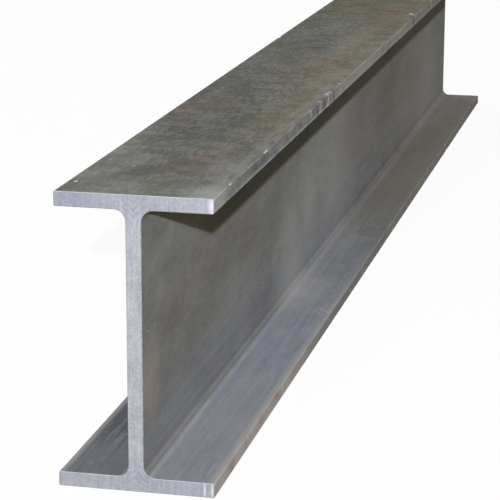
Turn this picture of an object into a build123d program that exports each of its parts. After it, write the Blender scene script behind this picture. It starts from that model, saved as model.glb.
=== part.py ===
from build123d import *
import os

# A hot-rolled steel I-beam, one solid piece of stock, lying level on its bottom flange.
# Millimetres. +X runs along the beam, +Y across the flanges and +Z up the web.
# The origin is the middle of the bottom flange's underside.

# Driving dimensions
beam_length = 1500.0       # the length the stock is cut and sold in
section_depth = 200.0      # over the outer faces of both flanges
flange_width = 106.0       # from toe to toe
flange_thickness = 10.0    # the flanges are parallel, with no taper
web_thickness = 10.5
root_radius = 8.0          # hollow that the rolls leave between the web and a flange
toe_outer_radius = 0.8     # rounding of a flange's edge on its outer face
toe_inner_radius = 1.0     # rounding of a flange's edge on the face towards the web


def rolled_section():
    """The I across the beam, as the rolls leave it.

    The right side's corners run from the bottom flange's toe up to the top flange's toe,
    each with its distance from the web's middle, its height and its radius. The left side
    mirrors them. Every radius is tangent to both its faces, hollow at the web's roots and
    rounded at the toes.
    """
    toe = flange_width / 2
    web_face = web_thickness / 2
    bottom_ledge = flange_thickness
    top_ledge = section_depth - flange_thickness
    right_side = [
        (toe, 0, toe_outer_radius),
        (toe, bottom_ledge, toe_inner_radius),
        (web_face, bottom_ledge, root_radius),
        (web_face, top_ledge, root_radius),
        (toe, top_ledge, toe_inner_radius),
        (toe, section_depth, toe_outer_radius),
    ]
    left_side = [(-across, height, radius) for across, height, radius in reversed(right_side)]
    corners = right_side + left_side
    with BuildSketch(Plane.YZ) as section:
        with BuildLine():
            FilletPolyline(
                *[(across, height) for across, height, radius in corners],
                radius=[radius for across, height, radius in corners],
                close=True,
            )
        make_face()
    return section.sketch


def i_beam():
    """The section drawn out to the beam's length, half of it each side of the origin."""
    return extrude(rolled_section(), amount=beam_length / 2, both=True)


os.makedirs("parts", exist_ok=True)
export_step(i_beam(), "parts/i_beam.step")
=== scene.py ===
import math
import random

import bmesh
import bpy
from mathutils import Matrix, Vector, noise


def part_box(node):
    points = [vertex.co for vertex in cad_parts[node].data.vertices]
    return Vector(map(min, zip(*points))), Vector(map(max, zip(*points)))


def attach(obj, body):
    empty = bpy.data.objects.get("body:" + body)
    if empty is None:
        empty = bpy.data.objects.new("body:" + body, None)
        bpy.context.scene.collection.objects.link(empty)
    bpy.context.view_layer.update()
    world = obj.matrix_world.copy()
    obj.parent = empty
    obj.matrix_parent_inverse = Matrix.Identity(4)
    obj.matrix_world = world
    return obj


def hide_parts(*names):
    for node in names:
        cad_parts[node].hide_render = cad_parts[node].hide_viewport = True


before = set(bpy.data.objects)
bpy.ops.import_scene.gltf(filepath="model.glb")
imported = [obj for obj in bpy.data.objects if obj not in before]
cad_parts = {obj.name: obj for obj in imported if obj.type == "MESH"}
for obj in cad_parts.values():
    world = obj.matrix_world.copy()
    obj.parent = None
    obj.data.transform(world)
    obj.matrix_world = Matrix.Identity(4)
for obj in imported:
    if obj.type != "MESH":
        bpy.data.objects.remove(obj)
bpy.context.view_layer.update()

MM = 0.001

# The rolled section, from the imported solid's own box and the rolls' sizes.
box_low, box_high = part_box("i_beam")
NEAR_END = box_low.x
FAR_END = box_high.x
TOE = box_high.y                 # a flange's edge, from the web's middle
TOP = box_high.z
FLANGE = 10 * MM
WEB_FACE = 10.5 / 2 * MM         # from the web's middle
ROOT_RADIUS = 8 * MM
TOE_OUTER_RADIUS = 0.8 * MM
TOE_INNER_RADIUS = 1.0 * MM
ARRIS = 0.4 * MM                 # width of the edge that the saw leaves round a cut end
WAVINESS = 0.12 * MM             # how far the rolls leave a face from flat, at most
WAVE = 70 * MM                   # about from one rise to the next

# The section's faces in mm, for the spots and strokes that are listed one by one.
ON_TOP = round(TOP / MM, 3)
ON_LEDGE = round(FLANGE / MM, 3)
RIGHT_TOE = -round(TOE / MM, 3)
ON_WEB = -5                      # about the web's right face

# How closely the skin is divided.
ROOT_STEPS = 8
TOE_STEPS = 3
FLANGE_STRIPS = [20, 28, 35, 41, 46, 49.5, 51.4]    # mm from the web's middle
WEB_STRIPS = [30, 50, 72, 100, 128, 150, 170]       # mm above the underside
TOE_STRIPS = [2, 3.6, 5, 6.4, 8]                    # mm into each flange's thickness
STATION = 8 * MM
STROKE_STEPS = 3                 # divisions across half of a knock or scrape
MOST_CUTS = 12                   # for one knock or scrape, along each axis
SNAP = 0.005 * MM                # a cut this close to a point goes through it
SAME_PLACE = 0.01 * MM           # a point this close to an end lies on it
SHARP = math.radians(32)         # an edge that turns by more than this is shaded sharp


def linear(hex_colour):
    """A #rrggbb colour, as the eye reads it, turned to the shader's linear red, green, blue and alpha."""
    channels = []
    for start in (1, 3, 5):
        value = int(hex_colour[start:start + 2], 16) / 255
        channels.append(value / 12.92 if value <= 0.04045 else ((value + 0.055) / 1.055) ** 2.4)
    return (*channels, 1.0)


def on_beam(point):
    """A point given as mm from the near end, across and up, in metres on the beam."""
    from_end, across, up = point
    return Vector((NEAR_END + from_end * MM, across * MM, up * MM))


def add(tree, kind, inputs=None, **settings):
    """Adds one node with its settings. Each input is a plain value or another node's output."""
    made = tree.nodes.new("ShaderNode" + kind)
    for name, value in settings.items():
        setattr(made, name, value)
    for socket, value in (inputs or {}).items():
        if isinstance(value, bpy.types.NodeSocket):
            tree.links.new(value, made.inputs[socket])
        else:
            made.inputs[socket].default_value = value
    return made


def new_material(name):
    """An empty material with its node tree, ready for a shader."""
    material = bpy.data.materials.new(name)
    material.use_nodes = True
    material.node_tree.nodes.clear()
    return material, material.node_tree


def product(tree, *values):
    """Several values multiplied."""
    total = values[0]
    for value in values[1:]:
        total = add(tree, "Math", {0: total, 1: value}, operation="MULTIPLY").outputs[0]
    return total


def strongest(tree, *values):
    """The largest of several values."""
    most = values[0]
    for value in values[1:]:
        most = add(tree, "Math", {0: most, 1: value}, operation="MAXIMUM").outputs[0]
    return most


def apart(tree, value, other):
    """How far one value is from another, whichever is the larger."""
    difference = add(tree, "Math", {0: value, 1: other}, operation="SUBTRACT").outputs[0]
    return add(tree, "Math", {0: difference}, operation="ABSOLUTE").outputs[0]


def fade(tree, value, start, end):
    """0 where the value is at start or before it, and 1 from end on."""
    ramp = add(
        tree, "MapRange", {"Value": value, "From Min": start, "From Max": end},
        interpolation_type="SMOOTHSTEP",
    )
    return ramp.outputs[0]


def line(tree, value, middle, reach):
    """1 where the value is at middle, falling to 0 at reach from it."""
    return fade(tree, apart(tree, value, middle), reach, 0.0)


def mottling(tree, place, size, low, high, stretch=(1, 1, 1), detail=3.0):
    """A cloudy pattern of the given size, drawn out along the axes by stretch: 0 at low, 1 at high."""
    drawn = add(tree, "Mapping", {"Vector": place, "Scale": [1 / factor for factor in stretch]})
    cloud = add(
        tree, "TexNoise",
        {"Vector": drawn.outputs[0], "Scale": 1 / size, "Detail": detail, "Roughness": 0.55},
    )
    return fade(tree, cloud.outputs["Fac"], low, high)


def patches(tree, place, spots):
    """The strongest of several soft spots: 1 at a spot's middle and 0 at its reach, both in mm."""
    faded = []
    for middle, reach in spots:
        local = add(
            tree, "Mapping",
            {"Vector": place, "Location": on_beam(middle), "Scale": [distance * MM for distance in reach]},
            vector_type="TEXTURE",
        )
        spot = add(tree, "TexGradient", {"Vector": local.outputs[0]}, gradient_type="SPHERICAL")
        faded.append(spot.outputs["Fac"])
    return strongest(tree, *faded)


def blend_patterns(tree, parts):
    """Several 0 to 1 patterns added by their shares, about a middle of 0.5."""
    total = 0.5
    for pattern, share in parts:
        centred = add(tree, "Math", {0: pattern, 1: 0.5}, operation="SUBTRACT").outputs[0]
        total = add(tree, "Math", {0: centred, 1: share, 2: total}, operation="MULTIPLY_ADD").outputs[0]
    return total


def lay_films(tree, base, films):
    """Lays thin coloured films over a base colour, each (where it lies, how strongly, its colour)."""
    colour = linear(base)
    for where, strength, film in films:
        share = product(tree, where, strength)
        # A Mix node's two colours share their names with its other kinds of data, so they go by number.
        colour = add(tree, "Mix", {0: share, 6: colour, 7: linear(film)}, data_type="RGBA").outputs[2]
    return colour


def relief(tree, layers):
    """Small heights, each (pattern, depth in mm), as one bumped normal."""
    normal = None
    for pattern, depth in layers:
        inputs = {"Height": pattern, "Distance": depth * MM, "Strength": 1.0}
        if normal is not None:
            inputs["Normal"] = normal
        normal = add(tree, "Bump", inputs).outputs[0]
    return normal


# Where the photograph shows the skin in another tone. Each spot is (mm from the near end, mm across,
# mm up) and its reach along the same axes.

# Darker scale.
DARK_SPOTS = [
    ((46, 30, ON_TOP), (18, 12, 40)),
    ((78, 15, ON_TOP), (44, 18, 40)),
    ((100, -2, ON_TOP), (34, 16, 40)),
    ((88, -20, ON_TOP), (26, 12, 40)),
    ((230, 10, ON_TOP), (130, 40, 40)),
    ((420, 24, ON_TOP), (120, 26, 40)),
    ((620, 20, ON_TOP), (160, 30, 40)),
    ((420, 48, ON_TOP), (160, 14, 40)),
    ((720, 46, ON_TOP), (300, 28, 40)),
    ((940, 20, ON_TOP), (160, 50, 40)),
    ((1180, -20, ON_TOP), (200, 60, 40)),
    ((120, RIGHT_TOE, 195), (70, 40, 12)),
    ((1480, ON_WEB, 100), (130, 40, 160)),
    ((860, -28, ON_LEDGE), (200, 44, 20)),
    ((740, -46, ON_LEDGE), (240, 24, 20)),
    ((1200, -24, ON_LEDGE), (360, 60, 20)),
]

# Browner scale, with a first tinge of rust.
BROWN_SPOTS = [
    ((170, ON_WEB, 120), (60, 40, 34)),
    ((80, ON_WEB, 106), (50, 40, 34)),
    ((305, ON_WEB, 104), (60, 40, 30)),
    ((740, ON_WEB, 92), (170, 40, 40)),
    ((1000, ON_WEB, 100), (90, 40, 50)),
    ((320, 37, ON_TOP), (80, 24, 40)),
    ((520, -18, ON_TOP), (150, 40, 40)),
    ((820, -24, ON_TOP), (160, 34, 40)),
]

# Greener scale.
OLIVE_SPOTS = [
    ((80, ON_WEB, 136), (50, 40, 24)),
    ((125, ON_WEB, 70), (60, 40, 24)),
    ((410, ON_WEB, 104), (80, 40, 50)),
    ((1240, ON_WEB, 90), (220, 40, 60)),
    ((60, 4, ON_TOP), (80, 34, 40)),
    ((330, -38, ON_TOP), (110, 22, 40)),
    ((560, 30, ON_TOP), (170, 30, 40)),
    ((1000, 0, ON_TOP), (300, 60, 40)),
]

# A pale pinkish bloom on the web near the end.
PINK_SPOTS = [
    ((14, ON_WEB, 73), (36, 40, 38)),
]

# Rust on the bottom flange's toe.
RUST_SPOTS = [
    ((49, RIGHT_TOE, 5), (14, 20, 12)),
    ((97, RIGHT_TOE, 8), (12, 20, 12)),
    ((143, RIGHT_TOE, 8), (22, 20, 12)),
    ((190, RIGHT_TOE, 8), (30, 20, 12)),
    ((262, RIGHT_TOE, 8), (30, 20, 12)),
    ((320, RIGHT_TOE, 8), (20, 20, 12)),
]

# Short sooty smears on the top.
SOOT_SPOTS = [
    ((741, -41, ON_TOP), (11, 17, 4)),
    ((908, -22, ON_TOP), (15, 20, 4)),
    ((800, -44, ON_TOP), (9, 9, 4)),
    ((985, -34, ON_TOP), (16, 22, 4)),
    ((640, 4, ON_TOP), (10, 18, 4)),
]

# Skin worn pale, on the web and at the top's near corner.
WORN_SPOTS = [
    ((485, ON_WEB, 40), (90, 40, 100)),
    ((555, ON_WEB, 70), (100, 40, 80)),
    ((680, ON_WEB, 76), (170, 40, 90)),
    ((1340, ON_WEB, 60), (280, 40, 110)),
    ((6, -50, ON_TOP), (46, 24, 24)),
]

# The top flange's toe, worn pale.
WORN_TOE_SPOTS = [
    ((12, RIGHT_TOE, 196), (34, 40, 14)),
    ((470, RIGHT_TOE, 196), (90, 40, 16)),
    ((575, RIGHT_TOE, 196), (180, 40, 34)),
    ((760, RIGHT_TOE, 198), (160, 40, 14)),
]

# Lighter rubs on the top and on the ledge.
RUBBED_SPOTS = [
    ((10, 24, ON_TOP), (60, 60, 40)),
    ((14, -34, ON_TOP), (50, 46, 40)),
    ((55, 42, ON_TOP), (60, 24, 40)),
    ((140, 49, ON_TOP), (120, 14, 40)),
    ((85, -38, ON_TOP), (56, 22, 40)),
    ((680, -22, ON_TOP), (130, 24, 40)),
    ((465, -36, ON_TOP), (90, 16, 40)),
    ((640, -46, ON_TOP), (110, 16, 40)),
    ((12, -44, ON_TOP), (36, 18, 40)),
    ((110, 30, ON_TOP), (26, 30, 40)),
    ((110, -30, ON_LEDGE), (150, 40, 20)),
    ((420, -40, ON_LEDGE), (24, 14, 20)),
]

SPOT_WANDER = 24 * MM            # size of the waves that break up a spot's edge
SPOT_SHIFT = 34 * MM             # how strongly they push it about
SHADOW_EDGE_SLOPE = 0.32             # how steeply the painted shadow's lower edge falls from the near end, as the flange's cast shadow does


def where_on_beam(tree):
    """The places that the mill scale is laid out by, in metres on the beam."""
    place = add(tree, "TexCoord").outputs["Object"]
    axes = add(tree, "SeparateXYZ", {0: place}).outputs
    wander = add(tree, "TexNoise", {"Vector": place, "Scale": 1 / SPOT_WANDER, "Detail": 3.0})
    centred = add(tree, "VectorMath", {0: wander.outputs["Color"], 1: (0.5, 0.5, 0.5)}, operation="SUBTRACT")
    shift = add(tree, "VectorMath", {0: centred.outputs[0], "Scale": SPOT_SHIFT}, operation="SCALE")
    return {
        "place": place,
        # The same place shifted about, so that a spot's edge isn't smooth.
        "ragged": add(tree, "VectorMath", {0: place, 1: shift.outputs[0]}, operation="ADD").outputs[0],
        "from_end": add(tree, "Math", {0: axes["X"], 1: NEAR_END}, operation="SUBTRACT").outputs[0],
        "across": axes["Y"],
        "height": axes["Z"],
        # From the web's middle to either side, and from half the height up or down.
        "aside": apart(tree, axes["Y"], 0.0),
        "from_middle": apart(tree, axes["Z"], TOP / 2),
    }


def faces_of_skin(tree, on):
    """Where each part of the skin lies: 1 on it and 0 away from it, with a soft edge between."""
    height, from_middle = on["height"], on["from_middle"]
    ledge_level = TOP / 2 - FLANGE
    toe = fade(tree, on["aside"], TOE - 1.0 * MM, TOE - 0.4 * MM)
    return {
        "top": fade(tree, height, TOP - 0.9 * MM, TOP - 0.4 * MM),
        "below_top": fade(tree, height, TOP - 1 * MM, TOP - 4 * MM),
        "low_down": fade(tree, height, 75 * MM, 30 * MM),
        "ledge": product(
            tree,
            fade(tree, height, FLANGE + 2.5 * MM, FLANGE + 0.4 * MM),
            fade(tree, height, FLANGE - 1.4 * MM, FLANGE - 0.4 * MM),
        ),
        "root": product(
            tree,
            fade(tree, from_middle, ledge_level - ROOT_RADIUS - 0.8 * MM, ledge_level - ROOT_RADIUS),
            fade(tree, from_middle, ledge_level - 0.1 * MM, ledge_level - 0.8 * MM),
        ),
        "toe": toe,
        "bottom_toe": product(tree, toe, fade(tree, height, FLANGE + 4 * MM, FLANGE + 1 * MM)),
        "right_side": fade(tree, on["across"], 5 * MM, -5 * MM),
        "left_side": fade(tree, on["across"], -5 * MM, 5 * MM),
    }


def skin_patterns(tree, on):
    """The scale's own unevenness, from its grain up to broad clouds, most of it drawn out along the beam."""
    place, ragged = on["place"], on["ragged"]
    return {
        # The scale's real grain is finer than the picture shows, so it is drawn at 1.5 mm.
        "grain": mottling(tree, place, 1.5 * MM, 0.2, 0.8, stretch=(4, 1, 1), detail=2.0),
        "roll_lines": mottling(tree, place, 3 * MM, 0.3, 0.7, stretch=(70, 1, 1), detail=2.0),
        "flecks": mottling(tree, place, 4 * MM, 0.3, 0.7, stretch=(3, 1, 1)),
        "uneven": mottling(tree, place, 6 * MM, 0.25, 0.6, stretch=(5, 1, 1)),
        "smudges": mottling(tree, place, 16 * MM, 0.3, 0.7, stretch=(4, 1, 1)),
        "clouds": mottling(tree, place, 60 * MM, 0.3, 0.7, stretch=(3, 1, 1)),
        "smears": mottling(tree, place, 18 * MM, 0.32, 0.68, stretch=(1, 1.6, 1)),
        "specks": mottling(tree, ragged, 9 * MM, 0.66, 0.80, detail=4.0),
        "olive": mottling(tree, ragged, 45 * MM, 0.48, 0.75, stretch=(3, 1, 1)),
        "brown": mottling(tree, ragged, 50 * MM, 0.50, 0.78, stretch=(3, 1, 1)),
    }


def skin_tone(tree, faces, skin):
    """How light the scale is, from 0 to 1: fine all over, and coarser on the top and the toes."""
    fine = blend_patterns(tree, [
        (skin["grain"], 0.12),
        (skin["flecks"], 0.10),
        (skin["smudges"], 0.12),
        (skin["clouds"], 0.16),
        (product(tree, skin["roll_lines"], faces["low_down"]), 0.20),
    ])
    coarse = blend_patterns(tree, [
        (skin["grain"], 0.70),
        (skin["flecks"], 0.55),
        (skin["smudges"], 0.10),
        (skin["smears"], 0.60),
    ])
    rough_faces = strongest(tree, faces["top"], product(tree, faces["toe"], 0.45))
    swing = add(tree, "Math", {0: coarse, 1: 0.5}, operation="SUBTRACT").outputs[0]
    return add(tree, "Math", {0: swing, 1: rough_faces, 2: fine}, operation="MULTIPLY_ADD").outputs[0]


def painted_flange_shadow(tree, on, faces):
    """The web's upper part on the right, where the top flange's shadow falls: a painted shadow, a dark olive
    band.
    """
    # Near the end the painted shadow's lower edge slopes, as the flange's cast shadow does.
    sloping = add(
        tree, "Math", {0: on["from_end"], 1: SHADOW_EDGE_SLOPE, 2: on["height"]}, operation="MULTIPLY_ADD",
    )
    return product(
        tree,
        fade(tree, on["height"], 126 * MM, 131 * MM),
        faces["below_top"],
        fade(tree, on["aside"], TOE - 1 * MM, TOE - 5 * MM),
        fade(tree, sloping.outputs[0], 184 * MM, 198 * MM),
        faces["right_side"],
    )


def arris_wear_and_highlight(tree, on):
    """1 on the flanges' long edges and 0 from just over a millimetre away, broken up along the beam: pale
    wear there, partly a painted highlight.
    """
    off_flange = apart(tree, on["from_middle"], (TOP - FLANGE) / 2)
    here = add(tree, "CombineXYZ", {0: off_flange, 1: on["aside"]})
    to_edge = add(
        tree, "VectorMath", {0: here.outputs[0], 1: (FLANGE / 2, TOE, 0)}, operation="DISTANCE",
    )
    broken = mottling(tree, on["place"], 7 * MM, 0.38, 0.62, stretch=(3, 1, 1))
    return product(tree, fade(tree, to_edge.outputs["Value"], 1.6 * MM, 0.5 * MM), broken)


def skin_films(tree, on, faces, skin):
    """What colours the scale, from the bottom film to the top one: (where, how strongly, its colour)."""
    place, ragged, from_end, across = on["place"], on["ragged"], on["from_end"], on["across"]
    top, toe, bottom_toe, ledge = faces["top"], faces["toe"], faces["bottom_toe"], faces["ledge"]
    near = fade(tree, from_end, 640 * MM, 380 * MM)
    far_off = fade(tree, from_end, 620 * MM, 1000 * MM)

    dust = blend_patterns(tree, [
        (skin["grain"], 0.3),
        (skin["flecks"], 0.4),
        (skin["smudges"], 0.5),
        (skin["roll_lines"], 0.5),
    ])
    left_ledge = product(tree, ledge, faces["left_side"])
    # Beyond about 100 mm from the end the web shades the left ledge from the key lamp: this darkening is a
    # painted shadow.
    left_ledge_painted_shadow = product(tree, left_ledge, fade(tree, from_end, 30 * MM, 100 * MM))
    ledge_far_off = product(tree, ledge, fade(tree, from_end, 280 * MM, 950 * MM))
    ledge_rub = product(tree, ledge, fade(tree, on["aside"], TOE - 6.5 * MM, TOE - 2 * MM), near)
    # Two pale lines along each root fillet: painted highlights.
    root_highlights = strongest(
        tree,
        line(tree, on["aside"], 9.8 * MM, 2.0 * MM),
        product(tree, line(tree, on["aside"], 6.4 * MM, 1.0 * MM), 0.6),
    )
    top_rub = product(tree, top, fade(tree, across, -38 * MM, -46 * MM), near)
    yellowed = product(
        tree, top, fade(tree, across, 0, -34 * MM), fade(tree, from_end, 130 * MM, 260 * MM),
    )
    toe_far_off = product(tree, toe, fade(tree, from_end, 180 * MM, 560 * MM))
    toe_rub = product(tree, bottom_toe, fade(tree, from_end, 420 * MM, 200 * MM))
    # A pale line along the top flange's lower rounded edge: a painted highlight.
    lower_arris_highlight = product(tree, toe, line(tree, on["height"], TOP - FLANGE + 1.4 * MM, 2.4 * MM))
    # Painted shadow under the top flange, and a darker one further from the end.
    painted_shadow_under_flange = painted_flange_shadow(tree, on, faces)
    deeper_painted_shadow = product(tree, painted_shadow_under_flange, fade(tree, from_end, 100 * MM, 230 * MM))
    struck = add(tree, "Attribute", attribute_name="struck").outputs["Fac"]

    return [
        (top, 0.68, "#565750"),
        (strongest(tree, skin["olive"], patches(tree, ragged, OLIVE_SPOTS)), 0.30, "#767a68"),
        (strongest(tree, skin["brown"], patches(tree, ragged, BROWN_SPOTS)), 0.36, "#8a6d62"),
        (faces["low_down"], 0.38, "#848a9c"),
        (faces["root"], 0.45, "#74747a"),
        (product(tree, ledge, faces["right_side"]), 0.75, "#a6abb9"),
        # The left ledge is darker than the right: weaker dust, and painted shade of the side away from the
        # key lamp.
        (left_ledge, 0.70, "#787c87"),
        (left_ledge_painted_shadow, 0.66, "#484a52"),
        (product(tree, ledge, fade(tree, dust, 0.5, 1.0)), 0.20, "#cfcfd6"),
        (product(tree, ledge, fade(tree, dust, 0.5, 0.0)), 0.22, "#70737e"),
        # Painted highlights along the roots.
        (product(tree, root_highlights, faces["root"], skin["uneven"]), 0.50, "#c4c2b6"),
        (toe, 0.15, "#9fa2a6"),
        (patches(tree, ragged, DARK_SPOTS), 0.42, "#55564f"),
        (fade(tree, patches(tree, place, SOOT_SPOTS), 0.0, 0.7), 0.42, "#3c3c2e"),
        (patches(tree, ragged, RUBBED_SPOTS), 0.34, "#b4b4af"),
        (patches(tree, ragged, WORN_SPOTS), 0.48, "#dcdcd7"),
        (product(tree, toe, patches(tree, ragged, WORN_TOE_SPOTS)), 0.74, "#dcdbd5"),
        (ledge_far_off, 0.54, "#86826f"),
        (product(tree, top, far_off), 0.30, "#6b6340"),
        (yellowed, 0.26, "#83734e"),
        (product(tree, faces["below_top"], far_off), 0.16, "#8f7d58"),
        (toe_far_off, 0.26, "#a08e62"),
        # Painted shadow under the top flange: a mustard tint, darkened to olive further from the end.
        (painted_shadow_under_flange, 0.45, "#9f8526"),
        (deeper_painted_shadow, 0.78, "#454838"),
        (bottom_toe, 0.40, "#a5a19e"),
        (toe_rub, 0.74, "#e6ded8"),
        (product(tree, top_rub, skin["uneven"]), 0.30, "#b4b5ae"),
        (ledge_rub, 0.55, "#c9c6c2"),
        # Wear on the flanges' edges, partly a painted highlight.
        (arris_wear_and_highlight(tree, on), 0.25, "#c6c7c9"),
        # Painted highlight on the top flange's lower edge.
        (product(tree, lower_arris_highlight, skin["uneven"]), 0.66, "#e2e2e0"),
        (skin["specks"], 0.18, "#7b5d48"),
        (patches(tree, ragged, PINK_SPOTS), 0.56, "#d6c2b9"),
        (product(tree, bottom_toe, patches(tree, ragged, RUST_SPOTS)), 0.48, "#ad8068"),
        # Painted shade in the hollows of the knocks that look below 0.
        (fade(tree, struck, 0.0, -1.0), 0.60, "#685c6e"),
        (fade(tree, struck, 0.0, 1.0), 0.95, "#e0dee2"),
    ]


def mill_scale():
    """Hot-rolled steel as it leaves the rolls: a thin grey iron-oxide scale, matt and a little sooty.

    It gives the eye a mid grey that drifts to olive and brown, a fine grain, faint lines along the beam
    from the rolls, a pale dust on the ledges, rust and rubs on the toes, and bare steel in the knocks. Over
    these lie painted shade under the top flange, on the far part of the left ledge and in some knocks, and
    painted highlights along the roots and the flanges' edges.
    """
    material, tree = new_material("mill_scale")
    on = where_on_beam(tree)
    faces = faces_of_skin(tree, on)
    skin = skin_patterns(tree, on)
    tone = skin_tone(tree, faces, skin)
    dullness = add(
        tree, "MapRange",
        {"Value": tone, "From Min": 0.2, "From Max": 0.85, "To Min": 0.85, "To Max": 0.68},
    )
    relief_layers = [
        (skin["grain"], 0.05),
        (skin["flecks"], 0.08),
        (skin["smudges"], 0.10),
        (skin["roll_lines"], 0.06),
    ]
    shader = add(
        tree, "BsdfPrincipled",
        {
            "Base Color": lay_films(
                tree, "#7b7b76", [(tone, 1.0, "#c0c0bd")] + skin_films(tree, on, faces, skin),
            ),
            "Roughness": dullness.outputs[0],
            "Specular IOR Level": 0.12,
            "Metallic": 0.0,
            "Normal": relief(tree, relief_layers),
        },
    )
    add(tree, "OutputMaterial", {"Surface": shader.outputs[0]})
    return material


# Where the web's steel flows into the flanges on a cut end, and where the cut looks paler, as spots.
JUNCTIONS = [
    ((0, 0, ON_TOP - ON_LEDGE), (6, 22, 15)),
    ((0, 0, ON_LEDGE), (6, 22, 15)),
]
PALE_CUT_SPOTS = [
    ((0, -51.8, 195), (5, 3.8, 9)),
    ((0, -51.4, 5), (4, 1.2, 7)),
    ((0, -46.5, 5), (4, 1.0, 7)),
]
FLOW_SPACING = 5 * MM            # from one flow line to the next
FLOW_WANDER = 3 * MM


def flow_lines(tree, place, from_middle, aside, wobble):
    """Faint slanting lines where the web's steel flows into a flange."""
    slant = add(tree, "Math", {0: from_middle, 1: aside}, operation="SUBTRACT").outputs[0]
    slant = add(tree, "Math", {0: wobble, 1: FLOW_WANDER, 2: slant}, operation="MULTIPLY_ADD").outputs[0]
    turns = product(tree, slant, math.tau / FLOW_SPACING)
    waves = add(tree, "Math", {0: turns}, operation="SINE").outputs[0]
    return product(tree, fade(tree, waves, -0.2, 1.0), patches(tree, place, JUNCTIONS))


def saw_cut():
    """Bare steel just sawn: pale and slightly lavender, a fine speckle with faint upright saw lines.

    The flanges' parts are a little bluer and darker, as the saw leaves the wide part of the cut smoother.
    """
    material, tree = new_material("saw_cut_steel")
    place = add(tree, "TexCoord").outputs["Object"]
    axes = add(tree, "SeparateXYZ", {0: place}).outputs
    from_middle = apart(tree, axes["Z"], TOP / 2)
    aside = apart(tree, axes["Y"], 0.0)
    saw_lines = mottling(tree, place, 1.6 * MM, 0.25, 0.75, stretch=(1, 1, 26), detail=2.0)
    speckle = mottling(tree, place, 1.6 * MM, 0.3, 0.7, detail=3.0)
    blotches = mottling(tree, place, 7 * MM, 0.3, 0.7)
    clouds = mottling(tree, place, 30 * MM, 0.3, 0.7)
    tone = blend_patterns(tree, [(saw_lines, 0.32), (speckle, 0.34), (blotches, 0.20), (clouds, 0.25)])
    flanges = fade(tree, from_middle, 84 * MM, 92 * MM)
    upper_left = product(
        tree, fade(tree, axes["Y"], 0, 40 * MM), fade(tree, axes["Z"], TOP / 2, TOP - FLANGE),
    )
    colour = lay_films(tree, "#868894", [
        (tone, 1.0, "#b4b5ba"),
        (flanges, 0.25, "#808394"),
        (upper_left, 0.26, "#6c6f8c"),
        (flow_lines(tree, place, from_middle, aside, blotches), 0.34, "#74768c"),
        (patches(tree, place, PALE_CUT_SPOTS), 0.55, "#f0f0f4"),
    ])
    shader = add(
        tree, "BsdfPrincipled",
        {
            "Base Color": colour,
            "Roughness": 0.5,
            "Metallic": 0.5,
            "Normal": relief(tree, [(saw_lines, 0.03), (speckle, 0.05)]),
        },
    )
    add(tree, "OutputMaterial", {"Surface": shader.outputs[0]})
    return material


def sawn_arris():
    """The edge round a saw cut: bright on top of the flanges, partly rubbed burr and partly a painted
    highlight, and as grey as the cut elsewhere.
    """
    material, tree = new_material("sawn_arris")
    place = add(tree, "TexCoord").outputs["Object"]
    height = add(tree, "SeparateXYZ", {0: place}).outputs["Z"]
    shine = mottling(tree, place, 3 * MM, 0.25, 0.75, detail=2.0)
    # The up-facing edges made bright: partly rubbed burr, partly a painted highlight.
    upward_rub_and_highlight = strongest(tree, line(tree, height, TOP, 1 * MM), line(tree, height, FLANGE, 1 * MM))
    colour = lay_films(tree, "#77777b", [(shine, 1.0, "#a3a3a6"), (upward_rub_and_highlight, 0.60, "#dcdcd8")])
    shader = add(tree, "BsdfPrincipled", {"Base Color": colour, "Roughness": 0.5, "Metallic": 0.3})
    add(tree, "OutputMaterial", {"Surface": shader.outputs[0]})
    return material


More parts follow.
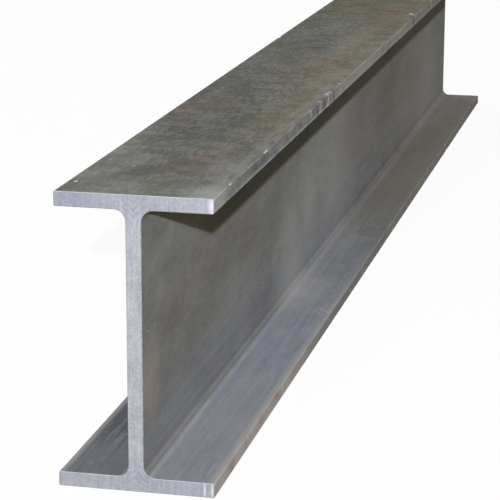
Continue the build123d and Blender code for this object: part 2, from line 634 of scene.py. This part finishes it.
# Knocks and scrapes that the photograph shows, as strokes from one point to another.
# Each is start and end (mm from the near end, mm across, mm up), half its width and its depth in mm, and
# how it looks: from 1, bright bare steel, to -1, a hollow darkened with painted shade.
STROKES = [
    ((30, 47.6, ON_TOP), (32.5, 47.4, ON_TOP), 1.5, 0.35, 1.0),
    ((44.5, -52.6, ON_TOP), (47.5, -52.6, ON_TOP), 1.2, 0.45, 1.0),
    ((150, -52.4, ON_TOP), (160, -52.2, ON_TOP), 1.2, 0.35, 1.0),
    ((29, RIGHT_TOE, 190.4), (45, RIGHT_TOE, 190.4), 0.8, 0.25, 0.6),
    ((75.5, RIGHT_TOE, 191), (78.5, RIGHT_TOE, 191), 1.1, 0.45, 1.0),
    ((318, -52, ON_TOP), (319.5, RIGHT_TOE, 195.5), 2.0, 0.40, 0.7),
    ((341, RIGHT_TOE, 199.5), (345, RIGHT_TOE, 192.5), 5.0, 0.45, -1.0),
    ((359, -51.5, ON_TOP), (355, RIGHT_TOE, 191.6), 3.0, 0.45, 0.6),
    ((371, RIGHT_TOE, ON_TOP), (375, RIGHT_TOE, 193), 5.0, 0.45, -1.0),
    ((393, -51, ON_TOP), (388, RIGHT_TOE, 192.2), 3.2, 0.50, 0.7),
    ((399, -50.5, ON_TOP), (405, -52, ON_TOP), 2.6, 0.40, 0.5),
    ((413, RIGHT_TOE, 199.5), (416, RIGHT_TOE, 193), 4.8, 0.40, -0.9),
    ((447, -51.5, ON_TOP), (443, RIGHT_TOE, 191.4), 2.8, 0.35, 0.6),
    ((864, RIGHT_TOE, 199.5), (870, RIGHT_TOE, 194), 5.5, 0.45, -0.9),
    ((884, -50, ON_TOP), (896, -45, ON_TOP), 3.0, 0.30, 0.6),
    ((924, -52.5, 199), (924, RIGHT_TOE, 192), 3.2, 0.40, 0.6),
    ((1001, -52.5, 199.5), (1001, RIGHT_TOE, 193), 3.2, 0.40, 0.6),
    ((85, 24.6, ON_TOP), (88, 23.6, ON_TOP), 1.2, 0.15, 0.5),
    ((13, -5.25, 106.6), (14.2, -5.25, 106.6), 0.9, 0.15, 0.8),
    ((414, -51, ON_LEDGE), (424, -41, ON_LEDGE), 1.8, 0.15, 0.45),
    ((404, -49, ON_LEDGE), (418, -37, ON_LEDGE), 1.4, 0.15, 0.35),
    ((96, RIGHT_TOE, 7), (98, RIGHT_TOE, 9), 1.1, 0.35, 0.6),
    ((214, RIGHT_TOE, 6), (217, RIGHT_TOE, 8.5), 1.3, 0.35, 0.5),
    ((676, -48, ON_LEDGE), (684, -22, ON_LEDGE), 1.6, 0.15, 0.4),
]
SCATTERED = 22
SCATTER_SEED = 11
SCATTER_OUT = -RIGHT_TOE - 0.2    # mm from the web's middle, just inside a toe
SCATTER_UP = (0.3, ON_LEDGE - 0.3, ON_TOP - ON_LEDGE + 0.3, ON_TOP - 0.3)    # just inside the flanges' edges
SCATTER_FROM = {1: 60, -1: 1150}  # mm from the near end, on the left side and on the right
SCATTER_TO = 1460
LOOK_SPREAD = 2.2                 # above 1, so that only a stroke's rim looks less struck


def scattered_strokes():
    """More knocks of the same kind on the flanges' edges, most of them where the photograph doesn't look."""
    chance = random.Random(SCATTER_SEED)
    strokes = []
    for _ in range(SCATTERED):
        side = chance.choice((-1, 1, 1))
        up = chance.choice(SCATTER_UP)
        from_end = chance.uniform(SCATTER_FROM[side], SCATTER_TO)
        length = chance.uniform(2, 9)
        start = (from_end, side * SCATTER_OUT, up)
        end = (from_end + length, side * SCATTER_OUT, up + chance.uniform(-0.6, 0.6))
        half_width = chance.uniform(1.2, 2.4)
        depth = chance.uniform(0.3, 0.7)
        strokes.append((start, end, half_width, depth, chance.choice((-0.8, 0.7, 1.0))))
    return strokes


def draw_section(bm):
    """The I of the section as one flat face at the near end, its corners still sharp."""
    right_side = [
        (TOE, 0),
        (TOE, FLANGE),
        (WEB_FACE, FLANGE),
        (WEB_FACE, TOP - FLANGE),
        (TOE, TOP - FLANGE),
        (TOE, TOP),
    ]
    outline = right_side + [(-across, up) for across, up in reversed(right_side)]
    bm.faces.new([bm.verts.new((NEAR_END, across, up)) for across, up in outline])


def roll_out(bm):
    """Draws the face out to the beam's length and rounds its long edges as the rolls do."""
    drawn = bmesh.ops.extrude_face_region(bm, geom=bm.faces[:], use_keep_orig=True)
    moved = [item for item in drawn["geom"] if isinstance(item, bmesh.types.BMVert)]
    bmesh.ops.translate(bm, verts=moved, vec=(FAR_END - NEAR_END, 0, 0))
    bmesh.ops.recalc_face_normals(bm, faces=bm.faces[:])

    def long_edges(wanted):
        """The edges along the beam at the corners that are wanted, by distance from the beam's middle."""
        found = []
        for edge in bm.edges:
            first, last = (vert.co for vert in edge.verts)
            if abs(first.x - last.x) > 1 * MM and wanted(abs(first.y), abs(first.z - TOP / 2)):
                found.append(edge)
        return found

    near = 0.1 * MM
    inner_level = TOP / 2 - FLANGE
    roundings = [
        (ROOT_RADIUS, ROOT_STEPS, lambda across, up: across < TOE / 2),
        (TOE_OUTER_RADIUS, TOE_STEPS, lambda across, up: across > TOE - near and up > TOP / 2 - near),
        (TOE_INNER_RADIUS, TOE_STEPS, lambda across, up: across > TOE - near and up < inner_level + near),
    ]
    for radius, steps, wanted in roundings:
        bmesh.ops.bevel(
            bm, geom=long_edges(wanted), offset=radius, offset_type="OFFSET", affect="EDGES",
            segments=steps, profile=0.5, material=-1, clamp_overlap=True,
        )


def cut_across(bm, geom, point, direction):
    """One cut through the given geometry by a plane. The result is that geometry with its new parts."""
    cut = bmesh.ops.bisect_plane(bm, geom=geom, plane_co=point, plane_no=direction, dist=SNAP)
    return cut["geom"]


def everything(bm):
    """All the points, edges and faces."""
    return bm.verts[:] + bm.edges[:] + bm.faces[:]


def cut_strips(bm):
    """Divides the flats into strips along the beam, closer together towards the toes."""
    for distance in [0] + FLANGE_STRIPS + [-strip for strip in FLANGE_STRIPS]:
        cut_across(bm, everything(bm), (0, distance * MM, 0), (0, 1, 0))
    heights = WEB_STRIPS + TOE_STRIPS + [TOP / MM - strip for strip in TOE_STRIPS]
    for height in heights:
        cut_across(bm, everything(bm), (0, 0, height * MM), (0, 0, 1))


def cut_stations(bm):
    """Divides the beam's length evenly between the two sawn edges."""
    long_edges = [edge for edge in bm.edges if abs(edge.verts[0].co.x - edge.verts[1].co.x) > FAR_END]
    cuts = math.ceil((FAR_END - NEAR_END) / STATION) - 1
    bmesh.ops.subdivide_edges(bm, edges=long_edges, cuts=cuts, use_grid_fill=True)


# The places of the cut's two materials on the mesh, after the skin's own.
CUT_FACE = 1
CUT_EDGE = 2


def saw_the_ends(bm):
    """Leaves a narrow worn edge round both cut ends and tells the cut faces from the skin."""
    for end, inwards in ((NEAR_END, 1), (FAR_END, -1)):
        cut_face = [
            face for face in bm.faces if all(abs(vert.co.x - end) < SAME_PLACE for vert in face.verts)
        ]
        for face in cut_face:
            face.material_index = CUT_FACE
        ring = bmesh.ops.inset_region(bm, faces=cut_face, thickness=ARRIS, depth=0)
        for face in ring["faces"]:
            face.material_index = CUT_EDGE
        inner = {vert for face in cut_face for vert in face.verts}
        outer = {vert for face in ring["faces"] for vert in face.verts} - inner
        bmesh.ops.translate(bm, verts=list(outer), vec=(inwards * ARRIS, 0, 0))


def unevenness(bm):
    """The rolls leave no face quite flat: each point moves a little inwards, in long waves."""
    bm.normal_update()
    for vert in bm.verts:
        # The underside and both ends stay true, so that the beam sits flat and keeps its length.
        if vert.co.z < FLANGE / 4 or abs(vert.co.x) > FAR_END - 5 * MM:
            continue
        # The waves are twice as long along the beam as across it.
        place = Vector((vert.co.x / 2, vert.co.y, vert.co.z))
        amount = (noise.noise(place / WAVE) - 1) / 2
        vert.co += vert.normal * amount * WAVINESS


def divide_round(bm, low, high, spacing):
    """Cuts the skin inside a box finely along all three axes, and leaves the rest of it as it is."""
    touched = []
    for face in bm.faces:
        if not low[0] - STATION < face.verts[0].co.x < high[0] + STATION:
            continue
        spans = [[vert.co[axis] for vert in face.verts] for axis in range(3)]
        if all(min(spans[axis]) < high[axis] and max(spans[axis]) > low[axis] for axis in range(3)):
            touched.append(face)
    geom = touched[:]
    geom += dict.fromkeys(edge for face in touched for edge in face.edges)
    geom += dict.fromkeys(vert for face in touched for vert in face.verts)
    for axis in range(3):
        direction = [0, 0, 0]
        direction[axis] = 1
        steps = min(MOST_CUTS, round((high[axis] - low[axis]) / spacing))
        for step in range(steps + 1):
            point = Vector(low)
            point[axis] += (high[axis] - low[axis]) * step / steps
            geom = cut_across(bm, geom, point, direction)


def strike(bm, strokes):
    """Pushes the knocks and scrapes into the skin, and notes for each point how bare the steel is, or, below
    0, how much painted shade darkens the hollow.
    """
    for start, end, half_width, _, _ in strokes:
        first, last = on_beam(start), on_beam(end)
        reach = half_width * MM
        low = [min(first[axis], last[axis]) - reach for axis in range(3)]
        high = [max(first[axis], last[axis]) + reach for axis in range(3)]
        divide_round(bm, low, high, reach / STROKE_STEPS)
    bm.normal_update()
    struck = bm.verts.layers.float.new("struck")
    for start, end, half_width, depth, look in strokes:
        first, last = on_beam(start), on_beam(end)
        along = last - first
        reach = half_width * MM
        for vert in bm.verts:
            if not min(first.x, last.x) - reach < vert.co.x < max(first.x, last.x) + reach:
                continue
            share = max(0.0, min(1.0, (vert.co - first).dot(along) / along.length_squared))
            distance = (vert.co - first - along * share).length / reach
            if distance < 1:
                fall = (1 - distance ** 2) ** 2
                vert.co -= vert.normal * depth * MM * fall
                vert[struck] += look * min(1.0, fall * LOOK_SPREAD)


def i_beam():
    """The whole beam as one closed mesh: skin, cut ends and sawn edges."""
    bm = bmesh.new()
    draw_section(bm)
    roll_out(bm)
    cut_strips(bm)
    saw_the_ends(bm)
    cut_stations(bm)
    unevenness(bm)
    strike(bm, STROKES + scattered_strokes())
    bmesh.ops.recalc_face_normals(bm, faces=bm.faces[:])
    for face in bm.faces:
        face.smooth = True
    for edge in bm.edges:
        edge.smooth = len(edge.link_faces) == 2 and edge.calc_face_angle() < SHARP
    mesh = bpy.data.meshes.new("i_beam_skin")
    bm.to_mesh(mesh)
    bm.free()
    beam = bpy.data.objects.new("i_beam_skin", mesh)
    bpy.context.scene.collection.objects.link(beam)
    for material in (mill_scale(), saw_cut(), sawn_arris()):
        mesh.materials.append(material)
    level = beam.modifiers.new("level_flats", "WEIGHTED_NORMAL")
    level.keep_sharp = True
    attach(beam, "root")
    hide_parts("i_beam")


# The lights. A white surface that faces the key lamp squarely renders about white.
KEY_POWER = 320.0         # watts, as the other powers
KEY_SIZE = 75 * MM        # small enough for the sharp dark band under the top flange
KEY_DISTANCE = 5.0
FILL_POWER = 32.0
BACK_POWER = 46.0         # for the sides that the key lamp doesn't reach
SOFT_SIZE = 3.0           # of the fill and back lamps
SOFT_DISTANCE = 4.0
STUDIO_LIGHT = 0.07       # the plain light from all round

# The photograph's shadow under the top flange gives the key lamp's direction.
TOWARDS_KEY = Vector((-0.928, -0.232, 0.296)).normalized()
TOWARDS_FILL = Vector((0.3, 0.0, 1.0)).normalized()
TOWARDS_BACK = Vector((0.55, 1.0, 0.30)).normalized()

FLOOR_REACH = 30.0        # from the beam's middle, far enough to fill the picture
FLOOR_GREY = 0.15         # dark enough to throw little light up under the flanges
FLOOR_LIFT = 0.90         # what brings the seen floor up to white


def seen_ray(tree):
    """1 for what the camera or a reflection sees, and 0 for light that falls on the beam."""
    ray = add(tree, "LightPath").outputs
    return strongest(tree, ray["Is Camera Ray"], ray["Is Glossy Ray"])


def pale_floor():
    """A plain pale floor that stays white to the eye and keeps the beam's soft shadow."""
    bm = bmesh.new()
    bmesh.ops.create_grid(bm, x_segments=4, y_segments=4, size=FLOOR_REACH)
    mesh = bpy.data.meshes.new("floor")
    bm.to_mesh(mesh)
    bm.free()
    floor = bpy.data.objects.new("floor", mesh)
    bpy.context.scene.collection.objects.link(floor)
    material, tree = new_material("pale_floor")
    matt = add(tree, "BsdfDiffuse", {"Color": (FLOOR_GREY, FLOOR_GREY, FLOOR_GREY, 1)})
    lift = product(tree, seen_ray(tree), FLOOR_LIFT)
    glow = add(tree, "Emission", {"Color": (1, 1, 1, 1), "Strength": lift})
    both = add(tree, "AddShader", {0: matt.outputs[0], 1: glow.outputs[0]})
    add(tree, "OutputMaterial", {"Surface": both.outputs[0]})
    mesh.materials.append(material)


def lamp(name, shape, size, power, aim, towards_lamp, distance):
    """An area lamp at a distance from the point that it is aimed at."""
    light = bpy.data.lights.new(name, "AREA")
    light.shape = shape
    light.size = size
    light.energy = power
    stand = bpy.data.objects.new(name, light)
    stand.location = aim + towards_lamp * distance
    stand.rotation_euler = towards_lamp.to_track_quat("Z", "Y").to_euler()
    bpy.context.scene.collection.objects.link(stand)


def studio():
    """Plain light from all round, a small lamp in front of the near end, and soft ones above and behind."""
    world = bpy.data.worlds.new("studio")
    bpy.context.scene.world = world
    world.use_nodes = True
    tree = world.node_tree
    tree.nodes.clear()
    strength = add(tree, "MapRange", {"Value": seen_ray(tree), "To Min": STUDIO_LIGHT, "To Max": 1.0})
    plain = add(tree, "Background", {"Color": (1, 1, 1, 1), "Strength": strength.outputs[0]})
    add(tree, "OutputWorld", {"Surface": plain.outputs[0]})

    near_corner = Vector((NEAR_END, -TOE, TOP - FLANGE))
    top_middle = Vector((0, 0, TOP))
    beam_middle = Vector((0, 0, TOP / 2))
    lamp("key", "DISK", KEY_SIZE, KEY_POWER, near_corner, TOWARDS_KEY, KEY_DISTANCE)
    lamp("fill", "SQUARE", SOFT_SIZE, FILL_POWER, top_middle, TOWARDS_FILL, SOFT_DISTANCE)
    lamp("back", "SQUARE", SOFT_SIZE, BACK_POWER, beam_middle, TOWARDS_BACK, SOFT_DISTANCE)


def camera():
    """The photograph's view: low, from in front of the near end and to its right."""
    lens = bpy.data.cameras.new("camera")
    lens.lens = 145.9
    lens.sensor_width = 36
    lens.clip_end = 100
    seen_from = bpy.data.objects.new("camera", lens)
    place = Vector((NEAR_END - 1.2044, -0.3479, 0.4835))
    turn = math.radians(12.713 - 90)
    tilt = math.radians(90 - 14.31)
    roll = math.radians(0.166)
    seen_from.matrix_world = (
        Matrix.Translation(place) @ Matrix.Rotation(turn, 4, "Z") @ Matrix.Rotation(tilt, 4, "X")
        @ Matrix.Rotation(roll, 4, "Z")
    )
    bpy.context.scene.collection.objects.link(seen_from)
    bpy.context.scene.camera = seen_from


camera()
studio()
pale_floor()
i_beam()

bpy.context.scene.view_settings.view_transform = "Standard"
